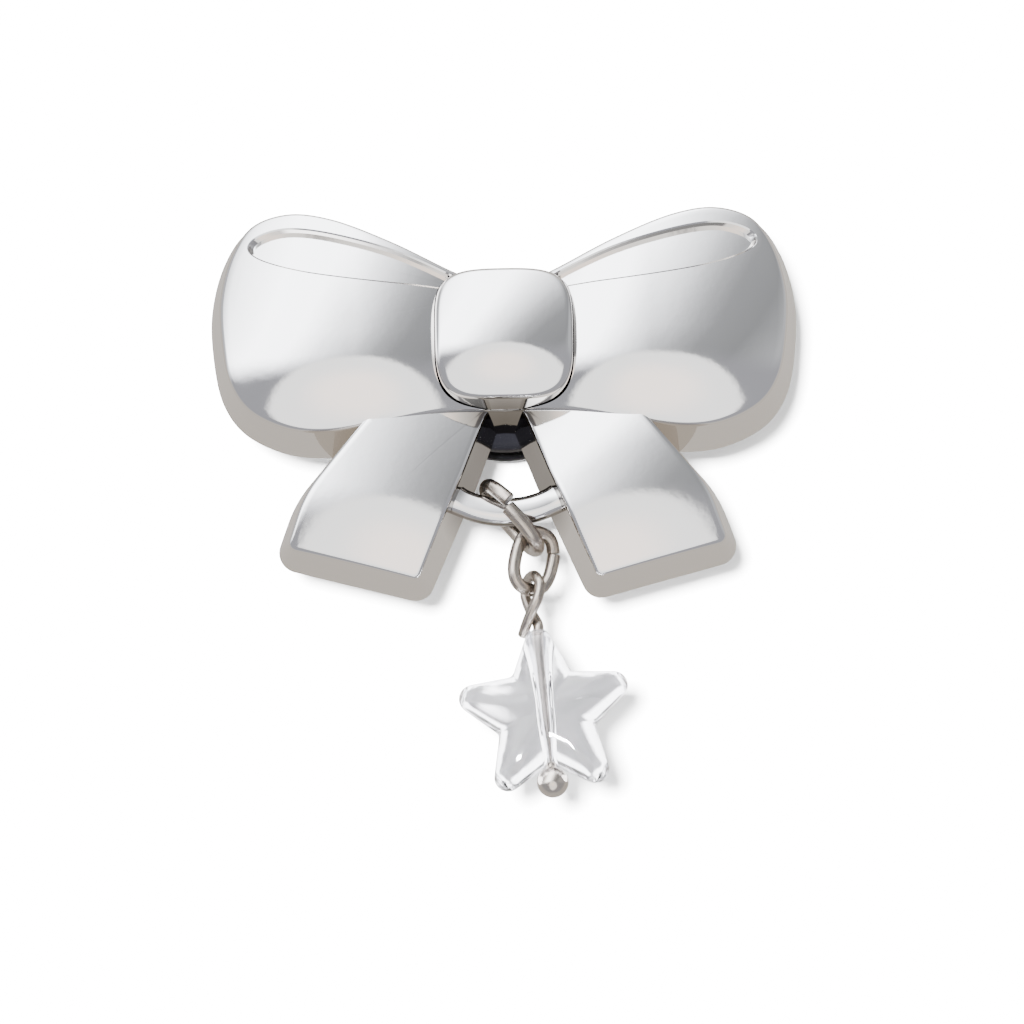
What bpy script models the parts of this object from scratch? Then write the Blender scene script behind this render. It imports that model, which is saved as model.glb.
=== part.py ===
"""Bow-shaped charm for a clog: a plated bow, a rubber snap-in plug behind it, and a star that
dangles from a bar between the bow's tails on two split rings and a ball-ended pin.

Metres, +Z up. The bow faces -Y and the plug points along +Y, into the clog. The origin is on
the plug's axis, in the plane where the plug's collar seats on the clog.
"""

import math

import bmesh
import bpy
import numpy as np

MM = 0.001

# Levels along the plug's axis. Front is negative.
SEAT = 0.0
COLLAR_FRONT = -1.2 * MM
BOW_BACK = -1.25 * MM
BOW_EDGE = -6.0 * MM
RUNNING_GAP = 0.05 * MM

# Bow: half outline of the two loops at the back, from the notch over the knot to the one under it.
LOOP_OUTLINE = [
    (0.0, 4.3), (3.0, 5.4), (6.8, 7.3), (10.7, 9.0), (13.8, 9.55), (16.5, 8.7), (18.1, 6.4),
    (18.9, 3.2), (18.8, 0.0), (18.2, -2.8), (16.8, -4.8), (14.3, -6.1), (11.5, -6.45), (8.0, -6.0),
    (4.0, -5.3), (0.0, -5.0),
]
LOOP_PAST = -0.6 * MM
LOOP_HOLLOW = [
    (3.1, 3.55), (6.4, 5.6), (10.8, 7.05), (13.6, 7.6), (15.4, 7.25), (16.25, 6.5),
    (15.5, 5.65), (13.2, 4.75), (10.2, 4.15), (6.6, 3.75),
]
HOLLOW_SPINE = ((4.5, 4.25), (14.6, 6.6))
LOOP_SPINE = ((2.0, -0.1), (12.4, 1.7))
LOOP_CROWN_AT = (10.6, 1.5)
LOOP_CROWN_REACH = (8.9, 7.3)
LOOP_CROWN = 1.5 * MM
HOLLOW_DEPTH = 0.7 * MM
WALL_LEAN = 0.75 * MM
EDGE_ROUND = 0.3 * MM

# Tails: outline of the right one at the back, as corners with their radii.
TAIL_CORNERS = [
    ((-0.3, -3.4), 0.0), ((0.62, -5.08), 0.0), ((1.95, -8.6), 8.0), ((5.25, -16.15), 1.2),
    ((15.1, -13.55), 1.3), ((13.6, -9.3), 8.0), ((9.3, -4.2), 0.0), ((6.0, -2.5), 0.0),
]
TAIL_CORE = [((3.0, -6.6), 0.6), ((6.4, -13.9), 0.8), ((12.6, -12.2), 0.8), ((9.2, -6.4), 0.8)]
TAIL_SPINE = ((3.2, -5.6), (9.2, -13.0))
TAIL_CROWN_AT = (8.2, -10.6)
TAIL_AXIS = (0.42, -0.91)
TAIL_CROWN_REACH = (8.6, 4.6)
TAIL_CROWN = 0.95 * MM
TAIL_EDGE = -5.45 * MM

# Knot: a pillow with a rounded square outline, seated in a pocket in the bow's front.
KNOT_HALF = (4.45 * MM, 4.4 * MM)
KNOT_CENTRE_Z = 0.3 * MM
KNOT_POWER = 4.2
KNOT_SEAT = -5.25 * MM
KNOT_EDGE = -6.75 * MM
KNOT_CROWN = 1.35 * MM
KNOT_LEAN = 0.38 * MM

# Crossbar between the tails, an arc that sags, with a rounded section.
BAR_RADIUS = 6.5 * MM
BAR_LOWEST = -10.78 * MM
BAR_Y = -4.0 * MM
BAR_HALF = (0.8 * MM, 0.9 * MM)
BAR_HALF_ANGLE = math.radians(40)

# Hollow of the bow, open at the back and closed by the plate.
REBATE_INSET = 1.0 * MM
PLATE_THICKNESS = 1.0 * MM
CORE_INSET = 1.9 * MM
CORE_CEILING = -4.15 * MM
PLATE_HOLE = 1.65 * MM

# Plug: turned about the Y axis, as (radius, level).
NECK_RADIUS = 1.6 * MM
ANCHOR_RADIUS = 2.3 * MM
COLLAR_RADIUS = 6.05 * MM
COLLAR_ROUND = 0.5 * MM
STEM_RADIUS = 3.5 * MM
HEAD_RADIUS = 5.6 * MM
STEM_LENGTH = 4.0 * MM
HEAD_THICKNESS = 2.0 * MM

# Dangling chain. Each ring is an oval of round wire with its ends sprung apart.
UPPER_WIRE = 0.48 * MM
UPPER_HALF = (2.52 * MM, 1.74 * MM)
UPPER_CENTRE = (0.3 * MM, -4.0 * MM, -11.15 * MM)
UPPER_LEAN = math.radians(38.5)
UPPER_TURN = math.radians(9)
UPPER_SPLIT = math.radians(-100)
UPPER_SPRING = 0.34 * MM
UPPER_OPEN = 0.07
LOWER_WIRE = 0.42 * MM
LOWER_HALF = (1.88 * MM, 1.3 * MM)
LOWER_LEAN = math.radians(-13)
LOWER_TURN = math.radians(25)
LOWER_SPLIT = math.radians(110)
LOWER_SPRING = 0.1 * MM
LOWER_OPEN = 0.04
OVAL_SQUARING = 0.8
LINK_GAP = 0.18 * MM
EYE_GAP = 0.16 * MM
PIN_WIRE = 0.34 * MM
PIN_LEAN = math.radians(4.8)
PIN_FORWARD = math.radians(4)
EYE_HALF = (1.5 * MM, 1.1 * MM)
PIN_LENGTH = 13.5 * MM
BALL_RADIUS = 1.0 * MM
STAR_ABOVE_BALL = 4.4 * MM
STAR_TIP = 6.9 * MM
STAR_NOTCH = 3.2 * MM
STAR_HALF_DEPTH = 1.7 * MM
STAR_HOLE = 0.57 * MM


# ---- Curves ----


def unit(vector):
    return np.array(vector, float) / np.linalg.norm(vector)


def through(points, per_span, closed=False):
    """A smooth curve through the points: a Catmull-Rom spline, with per_span steps a span."""
    p = np.array(points, float)
    if closed:
        p = np.vstack([p[-1], p, p[:2]])
    else:
        p = np.vstack([2 * p[0] - p[1], p, 2 * p[-1] - p[-2]])
    a, b, c, d = p[:-3, None], p[1:-2, None], p[2:-1, None], p[3:, None]
    t = (np.arange(per_span) / per_span)[None, :, None]
    curve = 0.5 * (2 * b + (c - a) * t + (2 * a - 5 * b + 4 * c - d) * t**2 + (3 * b - 3 * c + d - a) * t**3)
    curve = curve.reshape(-1, p.shape[1])
    return curve if closed else np.vstack([curve, p[-2]])


def rounded(corners, steps):
    """A closed outline through (corner, radius) pairs, each corner an arc tangent to its sides."""
    points = np.array([corner for corner, _ in corners], float)
    outline = []
    for i, (_, radius) in enumerate(corners):
        here = points[i]
        back = points[i - 1] - here
        ahead = points[(i + 1) % len(points)] - here
        if radius == 0:
            outline.append(here)
            continue
        back /= np.linalg.norm(back)
        ahead /= np.linalg.norm(ahead)
        half = math.acos(np.clip(back @ ahead, -1, 1)) / 2
        centre = here + (back + ahead) / np.linalg.norm(back + ahead) * radius / math.sin(half)
        first = here + back * radius / math.tan(half) - centre
        last = here + ahead * radius / math.tan(half) - centre
        for step in range(steps + 1):
            mix = first + (last - first) * step / steps
            outline.append(centre + mix / np.linalg.norm(mix) * radius)
    return np.array(outline)


def spread(outline, count):
    """The closed outline again, as count points at even distances."""
    loop = np.vstack([outline, outline[:1]])
    along = np.concatenate([[0], np.cumsum(np.linalg.norm(np.diff(loop, axis=0), axis=1))])
    want = np.linspace(0, along[-1], count, endpoint=False)
    return np.stack([np.interp(want, along, loop[:, k]) for k in range(2)], axis=1)


def nearest_on(outline, start, end):
    """For each outline point, the nearest point of the line from start to end, given in mm."""
    start = np.array(start) * MM
    span = np.array(end) * MM - start
    place = np.clip((outline - start) @ span / (span @ span), 0, 1)
    return start + place[:, None] * span


def shrunk(corners, distance):
    """(corner, radius) pairs of a polygon listed anticlockwise, with every side moved inwards."""
    points = np.array([corner for corner, _ in corners], float)
    moved = []
    for i, (_, radius) in enumerate(corners):
        before = unit(points[i] - points[i - 1])
        after = unit(points[(i + 1) % len(points)] - points[i])
        normals = np.array([(-before[1], before[0]), (-after[1], after[0])])
        corner = points[i] + normals.sum(axis=0) * distance / (1 + normals[0] @ normals[1])
        outward_bend = before[0] * after[1] - before[1] * after[0] > 0
        new_radius = max(radius - distance, 0.3 * MM) if outward_bend else radius + distance
        moved.append((corner, new_radius if radius else 0))
    return moved


# ---- Meshes ----


def material(name, colour, metallic, roughness, alpha=1.0):
    made = bpy.data.materials.new(name)
    made.use_nodes = True
    shader = made.node_tree.nodes["Principled BSDF"]
    shader.inputs["Base Color"].default_value = (*colour, 1)
    shader.inputs["Metallic"].default_value = metallic
    shader.inputs["Roughness"].default_value = roughness
    shader.inputs["Alpha"].default_value = alpha
    return made


def add_object(name, bm, finish=None):
    """Turns the closed bmesh into an object with its faces pointing out."""
    bmesh.ops.recalc_face_normals(bm, faces=bm.faces)
    mesh = bpy.data.meshes.new(name)
    bm.to_mesh(mesh)
    bm.free()
    obj = bpy.data.objects.new(name, mesh)
    bpy.context.scene.collection.objects.link(obj)
    if finish:
        mesh.materials.append(finish)
        mesh.shade_smooth()
        mesh.set_sharp_from_angle(angle=math.radians(35))
    return obj


def loft(name, rings, finish=None):
    """A closed skin through rings of equally many points, with a fan to the middle at each end."""
    bm = bmesh.new()
    rows = [[bm.verts.new(point) for point in ring] for ring in rings]
    for low, high in zip(rows, rows[1:]):
        for i in range(len(low)):
            j = (i + 1) % len(low)
            bm.faces.new((low[i], low[j], high[j]))
            bm.faces.new((low[i], high[j], high[i]))
    for row, ring in ((rows[0], rings[0]), (rows[-1], rings[-1])):
        middle = bm.verts.new(np.mean(ring, axis=0))
        for i in range(len(row)):
            bm.faces.new((row[i], row[(i + 1) % len(row)], middle))
    return add_object(name, bm, finish)


def tube(name, path, radius, finish=None, sides=10):
    """Round wire along an open path, with flat ends and no twist along it."""
    path = np.array(path)
    ahead = np.gradient(path, axis=0)
    ahead /= np.linalg.norm(ahead, axis=1)[:, None]
    side = np.cross(ahead[0], (0.3, 0.5, 0.8))
    rings = []
    for point, direction in zip(path, ahead):
        side -= direction * (side @ direction)
        side /= np.linalg.norm(side)
        other = np.cross(direction, side)
        turn = np.arange(sides) * 2 * math.pi / sides
        rings.append(point + radius * (np.cos(turn)[:, None] * side + np.sin(turn)[:, None] * other))
    return loft(name, rings, finish)


def lathe(name, profile, finish=None, sides=36):
    """A solid turned about the Y axis from (radius, y) points, which start and end off the axis."""
    turn = np.arange(sides) * 2 * math.pi / sides
    rings = [np.stack([r * np.sin(turn), np.full(sides, y), r * np.cos(turn)], axis=1) for r, y in profile]
    return loft(name, rings, finish)


def boolean(target, cutter, operation):
    """Adds a live Boolean with a hidden helper object."""
    step = target.modifiers.new(f"{operation.lower()}_{cutter.name}", "BOOLEAN")
    step.operation = operation
    step.solver = "EXACT"
    step.object = cutter
    cutter.hide_render = True
    cutter.display_type = "WIRE"


def ring_at(outline, level):
    """Outline points (x, z) in metres as 3-D points at a level, which may be one number a point."""
    return np.stack([outline[:, 0], np.broadcast_to(level, len(outline)), outline[:, 1]], axis=1)


def mirrored(rings):
    return [ring * (-1, 1, 1) for ring in rings]


# ---- Bow ----


def loop_front(points):
    """Level of a loop's crowned front: a shallow paraboloid over the loop's middle."""
    u = (points[:, 0] / MM - LOOP_CROWN_AT[0]) / LOOP_CROWN_REACH[0]
    v = (points[:, 1] / MM - LOOP_CROWN_AT[1]) / LOOP_CROWN_REACH[1]
    return BOW_EDGE - LOOP_CROWN * np.clip(1 - u**2 - v**2, -0.25, 1)


def tail_front(points):
    """Level of a tail's crowned front, a paraboloid that is longer along the tail."""
    dx = points[:, 0] / MM - TAIL_CROWN_AT[0]
    dz = points[:, 1] / MM - TAIL_CROWN_AT[1]
    along = (dx * TAIL_AXIS[0] + dz * TAIL_AXIS[1]) / TAIL_CROWN_REACH[0]
    across = (dx * TAIL_AXIS[1] - dz * TAIL_AXIS[0]) / TAIL_CROWN_REACH[1]
    return TAIL_EDGE - TAIL_CROWN * np.clip(1 - along**2 - across**2, -0.3, 1)


def loop_outline(distance=0.0, count=48):
    """One loop, inset by a distance, closed by a line just past the bow's centre."""
    half = through(LOOP_OUTLINE, 6) * MM
    ahead = np.gradient(half, axis=0)
    ahead[[0, -1], 1] = 0
    ahead /= np.linalg.norm(ahead, axis=1)[:, None]
    half += distance * np.stack([ahead[:, 1], -ahead[:, 0]], axis=1)
    return spread(np.vstack([half, (LOOP_PAST, half[-1, 1]), (LOOP_PAST, half[0, 1])]), count)


def tail_outline(distance=0.0, count=36):
    corners = [(np.array(corner) * MM, radius * MM) for corner, radius in TAIL_CORNERS]
    return spread(rounded(shrunk(corners, distance), 6), count)


def edge_rings(outline_at, front):
    """Back edge, leaning wall and rounded front edge that every raised part of the bow has."""
    wall = outline_at(WALL_LEAN)
    turned = outline_at(WALL_LEAN + 0.3 * EDGE_ROUND)
    flat = outline_at(WALL_LEAN + EDGE_ROUND)
    return [
        ring_at(outline_at(0.0), BOW_BACK),
        ring_at(wall, front(wall) + EDGE_ROUND),
        ring_at(turned, front(turned) + 0.3 * EDGE_ROUND),
        ring_at(flat, front(flat)),
    ]


def crown_rings(outline_at, front, spine, steps):
    """Back edge, side, rounded edge and crowned front, which closes in on a line called the spine."""
    rings = edge_rings(outline_at, front)
    flat = outline_at(WALL_LEAN + EDGE_ROUND)
    middle = nearest_on(flat, *spine)
    for mix in steps:
        between = flat + (middle - flat) * mix
        rings.append(ring_at(between, front(between)))
    return rings


def hollow_rings():
    """The almond hollow in a loop's front: its floor from the middle out, then its side."""
    hollow = spread(through(LOOP_HOLLOW, 6, closed=True) * MM, 40)
    middle = nearest_on(hollow, *HOLLOW_SPINE)
    rings = []
    for mix in (0.9, 0.5, 0.04):
        floor = hollow + (middle - hollow) * mix
        rings.append(ring_at(floor, loop_front(floor) + HOLLOW_DEPTH))
    rings.append(ring_at(hollow, BOW_EDGE - 4 * MM))
    return rings


def knot_outline(grow, count=40):
    """A superellipse: |x/a|^n + |z/b|^n = 1, with both half-widths grown by the same amount."""
    turn = np.arange(count) * 2 * math.pi / count
    c, s = np.cos(turn), np.sin(turn)
    x = (KNOT_HALF[0] + grow) * np.sign(c) * np.abs(c) ** (2 / KNOT_POWER)
    z = (KNOT_HALF[1] + grow) * np.sign(s) * np.abs(s) ** (2 / KNOT_POWER)
    return spread(np.stack([x, z + KNOT_CENTRE_Z], axis=1), count)


def knot_rings():
    """Leaning side, rounded edge and crowned face of the knot, from its seat to its middle."""
    middle = np.array((0.0, KNOT_CENTRE_Z))
    edge = knot_outline(-KNOT_LEAN)
    rings = [ring_at(knot_outline(0.0), KNOT_SEAT - RUNNING_GAP), ring_at(edge, KNOT_EDGE + EDGE_ROUND)]
    for mix, rise in ((0.02, 0.05), (0.1, 0.3), (0.3, 0.64), (0.55, 0.87), (0.8, 0.98)):
        rings.append(ring_at(edge + (middle - edge) * mix, KNOT_EDGE - KNOT_CROWN * rise))
    return rings


def bar_rings(steps=16):
    """The sagging bar: a rounded section carried along an arc between the tails."""
    turn = np.arange(16) * math.pi / 8
    deep = BAR_HALF[0] * np.sign(np.cos(turn)) * np.abs(np.cos(turn)) ** 0.75
    tall = BAR_HALF[1] * np.sign(np.sin(turn)) * np.abs(np.sin(turn)) ** 0.75
    rings = []
    for angle in np.linspace(-BAR_HALF_ANGLE, BAR_HALF_ANGLE, steps + 1):
        reach = BAR_RADIUS - tall
        centre_z = BAR_LOWEST + BAR_RADIUS
        x = reach * math.sin(angle)
        z = centre_z - reach * math.cos(angle)
        rings.append(np.stack([x, BAR_Y + deep, z], axis=1))
    return rings


def prism(name, outline, low, high):
    return loft(name, [ring_at(outline, low), ring_at(outline, high)])


def tail_core():
    corners = [(np.array(corner) * MM, radius * MM) for corner, radius in TAIL_CORE]
    return spread(rounded(corners, 4), 24)


def cut_both(target, name, outline, low, high):
    """Cuts a prism of the outline and its mirror image from the target."""
    for hand, side in (("right", 1), ("left", -1)):
        boolean(target, prism(f"{name}_{hand}", outline * (side, 1), low, high), "DIFFERENCE")


def make_bow(finish):
    """Two loops, two tails and the crossbar as one moulding, hollow at the back."""
    loop = crown_rings(loop_outline, loop_front, LOOP_SPINE, (0.22, 0.45, 0.7, 0.88))
    tail = crown_rings(tail_outline, tail_front, TAIL_SPINE, (0.35, 0.75))
    bow = loft("bow_shell", loop, finish)
    boolean(bow, loft("loop_left", mirrored(loop)), "UNION")
    boolean(bow, loft("tail_right", tail), "UNION")
    boolean(bow, loft("tail_left", mirrored(tail)), "UNION")
    boolean(bow, loft("crossbar", bar_rings()), "UNION")
    pocket = knot_outline(RUNNING_GAP)
    boolean(bow, prism("knot_pocket", pocket, KNOT_SEAT, KNOT_EDGE - 5 * MM), "DIFFERENCE")
    hollow = hollow_rings()
    boolean(bow, loft("hollow_right", hollow), "DIFFERENCE")
    boolean(bow, loft("hollow_left", mirrored(hollow)), "DIFFERENCE")
    rebate = BOW_BACK - PLATE_THICKNESS - 2 * RUNNING_GAP
    cut_both(bow, "rebate_loop", loop_outline(REBATE_INSET, 36), SEAT, rebate)
    cut_both(bow, "rebate_tail", tail_outline(REBATE_INSET, 28), SEAT, rebate)
    cut_both(bow, "core_loop", loop_outline(CORE_INSET, 36), rebate + MM, CORE_CEILING)
    cut_both(bow, "core_tail", tail_core(), rebate + MM, CORE_CEILING)
    return bow


def make_plate(finish):
    """Flat plate that closes the bow's back, with the hole that the plug's neck sits in."""
    front = BOW_BACK - PLATE_THICKNESS
    back = BOW_BACK - RUNNING_GAP
    loop = loop_outline(REBATE_INSET + RUNNING_GAP, 36)
    tail = tail_outline(REBATE_INSET + RUNNING_GAP, 28)
    plate = prism("back_plate", loop, back, front)
    plate.data.materials.append(finish)
    boolean(plate, prism("plate_loop_left", loop * (-1, 1), back, front), "UNION")
    boolean(plate, prism("plate_tail_right", tail, back, front), "UNION")
    boolean(plate, prism("plate_tail_left", tail * (-1, 1), back, front), "UNION")
    hole = [(PLATE_HOLE, front - MM), (PLATE_HOLE, SEAT)]
    boolean(plate, lathe("plate_hole", hole), "DIFFERENCE")
    return plate


def make_plug(finish):
    """Rubber plug: an anchor inside the bow, a neck, the collar that seats on the clog, and the
    stem and mushroom head that snap through the clog's hole."""
    inside = BOW_BACK - PLATE_THICKNESS - RUNNING_GAP
    head = SEAT + STEM_LENGTH
    profile = [
        (1.0 * MM, inside - 1.2 * MM), (ANCHOR_RADIUS - 0.3 * MM, inside - 1.2 * MM),
        (ANCHOR_RADIUS, inside - 0.9 * MM), (ANCHOR_RADIUS, inside),
        (NECK_RADIUS, inside), (NECK_RADIUS, COLLAR_FRONT),
        (COLLAR_RADIUS - COLLAR_ROUND, COLLAR_FRONT),
        (COLLAR_RADIUS - 0.3 * COLLAR_ROUND, COLLAR_FRONT + 0.3 * COLLAR_ROUND),
        (COLLAR_RADIUS, COLLAR_FRONT + COLLAR_ROUND),
        (COLLAR_RADIUS, SEAT - 0.15 * MM), (COLLAR_RADIUS - 0.15 * MM, SEAT),
        (STEM_RADIUS + 0.3 * MM, SEAT), (STEM_RADIUS, SEAT + 0.3 * MM),
        (STEM_RADIUS, head - 0.2 * MM), (HEAD_RADIUS - 0.4 * MM, head),
        (HEAD_RADIUS, head + 0.4 * MM), (HEAD_RADIUS - 0.1 * MM, head + 0.9 * MM),
        (HEAD_RADIUS - 0.9 * MM, head + 1.6 * MM), (HEAD_RADIUS - 2.0 * MM, head + HEAD_THICKNESS),
        (1.0 * MM, head + HEAD_THICKNESS),
    ]
    return lathe("plug", profile, finish)


# ---- Chain ----


def oval(half, turn):
    """Places along the long and short axes of a squared oval, where angle 0 is its lower end."""
    c, s = np.cos(turn), np.sin(turn)
    long_part = half[0] * np.sign(c) * np.abs(c) ** OVAL_SQUARING
    short_part = half[1] * np.sign(s) * np.abs(s) ** OVAL_SQUARING
    return long_part, short_part


def lowest_point(centre, down, short, half):
    """The lowest point of a hanging oval, and its level tangent there."""
    long_part, short_part = oval(half, np.linspace(-1.4, 1.4, 561))
    points = centre + np.outer(long_part, down) + np.outer(short_part, short)
    level = unit(np.cross(np.cross(down, short), (0, 0, -1)))
    return points[np.argmin(points[:, 2])], level


def chain_frames():
    """Where each link hangs: its centre, its long axis pointing down, its short axis, and the
    point and the axis that the next link swings about."""
    down_1 = unit((math.sin(UPPER_LEAN), 0, -math.cos(UPPER_LEAN)))
    short_1 = (-math.sin(UPPER_TURN), math.cos(UPPER_TURN), 0)
    short_1 = unit(short_1 - down_1 * (down_1 @ short_1))
    centre_1 = np.array(UPPER_CENTRE)
    hang_1, swing_1 = lowest_point(centre_1, down_1, short_1, UPPER_HALF)

    down_2 = unit((math.sin(LOWER_LEAN), 0, -math.cos(LOWER_LEAN)))
    short_2 = (math.cos(LOWER_TURN), math.sin(LOWER_TURN), 0)
    short_2 = unit(short_2 - down_2 * (down_2 @ short_2))
    top_2 = hang_1 - down_2 * (UPPER_WIRE + LOWER_WIRE + LINK_GAP)
    centre_2 = top_2 + down_2 * LOWER_HALF[0]
    hang_2, swing_2 = lowest_point(centre_2, down_2, short_2, LOWER_HALF)

    down_3 = unit((math.tan(PIN_LEAN), -math.tan(PIN_FORWARD), -1))
    short_3 = unit(np.cross(swing_2, down_3))
    top_3 = hang_2 - down_3 * (LOWER_WIRE + PIN_WIRE + EYE_GAP)
    foot_3 = top_3 + down_3 * PIN_LENGTH
    return {
        "upper_ring": (centre_1, down_1, short_1, hang_1, swing_1),
        "lower_ring": (centre_2, down_2, short_2, hang_2, swing_2),
        "ball_pin": (top_3, down_3, short_3, foot_3, down_3),
    }


def oval_path(centre, down, short, half, split, spring, gap, steps=40):
    """An oval of wire, open at the split angle, whose ends are sprung apart sideways.

    The angle runs from the long axis's lower end; the two ends are half a spring off the plane."""
    long_part, short_part = oval(half, np.linspace(split + gap, split + 2 * math.pi - gap, steps + 1))
    off = spring * (np.linspace(-1, 1, steps + 1) ** 5) / 2
    normal = np.cross(down, short)
    return centre + np.outer(long_part, down) + np.outer(short_part, short) + np.outer(off, normal)


def pin_path(top, down, short):
    """From the cut end, over the eye and down the shank to the ball, in the eye's own axes:
    across, down, and out of the eye's plane."""
    out = np.cross(down, short)
    tall, wide = EYE_HALF
    points = [
        (0.85, 3.65, -0.45), (0.3, 3.15, -0.42), (-0.35, 2.5, -0.34), (-0.9, 1.7, -0.15), (-1.0, 0.9, 0.0),
        (-0.62, 0.2, 0.0), (0.0, 0.0, 0.0), (0.62, 0.2, 0.0), (1.0, 0.9, 0.0),
        (0.85, 1.8, 0.15), (0.45, 2.6, 0.3), (0.12, 3.4, 0.3), (0.0, 4.2, 0.12), (0.0, 5.0, 0.0),
        (0.0, 7.0, 0.0), (0.0, 10.0, 0.0), (0.0, PIN_LENGTH / MM, 0.0),
    ]
    local = through(points, 4) * MM * (wide / MM, tall / (1.5 * MM), 1)
    straight = local[:, 1] > 4.9 * MM
    local[straight, 0] = 0
    return top + np.outer(local[:, 0], short) + np.outer(local[:, 1], down) + np.outer(local[:, 2], out)


def make_pin(top, down, short, finish):
    """Head pin: its wire turned into an eye that crosses itself, and a ball on its foot."""
    pin = tube("ball_pin", pin_path(top, down, short), PIN_WIRE, finish, sides=8)
    bm = bmesh.new()
    bmesh.ops.create_icosphere(bm, subdivisions=2, radius=BALL_RADIUS)
    ball = add_object("pin_ball", bm)
    ball.location = top + down * PIN_LENGTH
    boolean(pin, ball, "UNION")
    return pin


def star_outline(count=60):
    """Five arms with round tips and softer notches, symmetric about the vertical."""
    corners = []
    for k in range(10):
        reach, radius = (STAR_TIP, 0.85 * MM) if k % 2 == 0 else (STAR_NOTCH, 0.5 * MM)
        angle = math.pi / 2 - k * math.pi / 5
        corners.append(((reach * math.cos(angle), reach * math.sin(angle)), radius))
    return spread(rounded(corners, 4), count)


def make_star(centre, down, short, finish):
    """Puffed star bead, drilled down its height for the pin."""
    outline = star_outline()
    side = np.array((1.0, 0, 0))
    side = unit(side - down * (down @ side))
    front = np.cross(side, -down)
    rings = []
    for scale, depth in ((0.35, 1.0), (0.62, 0.9), (0.84, 0.68), (0.96, 0.42), (1.0, 0.16),
                         (1.0, -0.16), (0.96, -0.42), (0.84, -0.68), (0.62, -0.9), (0.35, -1.0)):
        flat = outline * scale
        off = front * depth * STAR_HALF_DEPTH
        rings.append(centre + np.outer(flat[:, 0], side) - np.outer(flat[:, 1], down) + off)
    star = loft("star_bead", rings, finish)
    path = [centre - down * 8 * MM, centre + down * 8 * MM]
    boolean(star, tube("star_hole", path, STAR_HOLE, sides=16), "DIFFERENCE")
    return star


def main():
    for obj in list(bpy.data.objects):
        bpy.data.objects.remove(obj, do_unlink=True)
    chrome = material("plated_abs", (0.78, 0.78, 0.79), 1.0, 0.08)
    steel = material("nickel_wire", (0.6, 0.58, 0.55), 1.0, 0.2)
    rubber = material("black_rubber", (0.01, 0.01, 0.011), 0.0, 0.6)
    acrylic = material("clear_acrylic", (0.85, 0.85, 0.87), 0.0, 0.05, alpha=0.35)

    make_bow(chrome)
    loft("knot_cap", knot_rings(), chrome)
    make_plate(chrome)
    make_plug(rubber)

    links = chain_frames()
    centre, down, short, _, _ = links["upper_ring"]
    path = oval_path(centre, down, short, UPPER_HALF, UPPER_SPLIT, UPPER_SPRING, UPPER_OPEN)
    tube("upper_ring", path, UPPER_WIRE, steel)
    centre, down, short, _, _ = links["lower_ring"]
    path = oval_path(centre, down, short, LOWER_HALF, LOWER_SPLIT, LOWER_SPRING, LOWER_OPEN)
    tube("lower_ring", path, LOWER_WIRE, steel)
    top, down, short, ball, _ = links["ball_pin"]
    make_pin(top, down, short, steel)
    make_star(ball - down * STAR_ABOVE_BALL, down, short, acrylic)


main()
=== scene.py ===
"""Looks of the bow charm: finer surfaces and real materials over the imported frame.

Metres, +Z up, the bow faces -Y and its plug points along +Y. Sizes in the sections are in mm and
are turned to metres by MM. Each section is one piece, in the order the charm is put together.
"""

import math

import bpy
import numpy as np
from mathutils import Matrix, Vector


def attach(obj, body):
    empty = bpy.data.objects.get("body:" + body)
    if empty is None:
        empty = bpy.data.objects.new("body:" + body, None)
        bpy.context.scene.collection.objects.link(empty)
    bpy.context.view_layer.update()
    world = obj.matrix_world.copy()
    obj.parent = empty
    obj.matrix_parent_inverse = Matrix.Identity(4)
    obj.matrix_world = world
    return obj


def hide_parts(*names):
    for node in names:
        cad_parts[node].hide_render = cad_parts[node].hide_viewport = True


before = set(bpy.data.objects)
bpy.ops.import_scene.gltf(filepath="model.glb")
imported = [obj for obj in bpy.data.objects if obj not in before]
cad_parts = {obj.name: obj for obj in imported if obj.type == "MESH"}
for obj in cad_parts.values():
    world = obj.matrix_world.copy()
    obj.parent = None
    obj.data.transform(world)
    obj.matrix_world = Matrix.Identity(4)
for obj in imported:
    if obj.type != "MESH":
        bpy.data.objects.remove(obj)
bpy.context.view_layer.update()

MM = 0.001


# ---- Bow moulding ------------------------------------------------------------------------------
# One injection-moulded ABS bow: two loops, two tails and the bar between them, hollow at the back.
# It is copper-nickel-chrome plated, so it mirrors the studio, a little rippled where the moulding
# under the plate isn't perfectly flat.

BOW_BACK = -1.25
IN_FRONT_OF_ALL = -12.0
LOOP_HALF_OUTLINE = [
    (0.0, 4.3), (3.0, 5.4), (6.8, 7.3), (10.7, 9.0), (13.8, 9.55), (16.5, 8.7), (18.1, 6.4),
    (18.9, 3.2), (18.8, 0.0), (18.2, -2.8), (16.8, -4.8), (14.3, -6.1), (11.5, -6.45), (8.0, -6.0),
    (4.0, -5.3), (0.0, -5.0),
]
LOOP_PAST_MIDDLE = -0.6
LOOP_MIDDLE = (8.5, 1.3)
LOOP_PEAK = -7.5
LOOP_PEAK_AT = (9.45, 0.5)
LOOP_BENDS = (0.05, 0.052, 0.088)
LOOP_ROLL_OFF = 1.55
LOOP_ROLL_REACH = 8.7
LOOP_ROLL_POWER = 2.3
LOOP_HOLLOW = [
    (2.2, 3.5), (6.2, 5.6), (10.6, 7.05), (13.6, 7.62), (15.5, 7.3), (16.3, 6.5),
    (15.5, 5.62), (13.2, 4.75), (10.2, 4.15), (6.4, 3.7),
]
HOLLOW_MIDDLE = (10.4, 5.5)
HOLLOW_DEPTH = 0.6
HOLLOW_LIP = 0.1
WALL_LEAN = 0.75
EDGE_ROUND = 0.28
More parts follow.
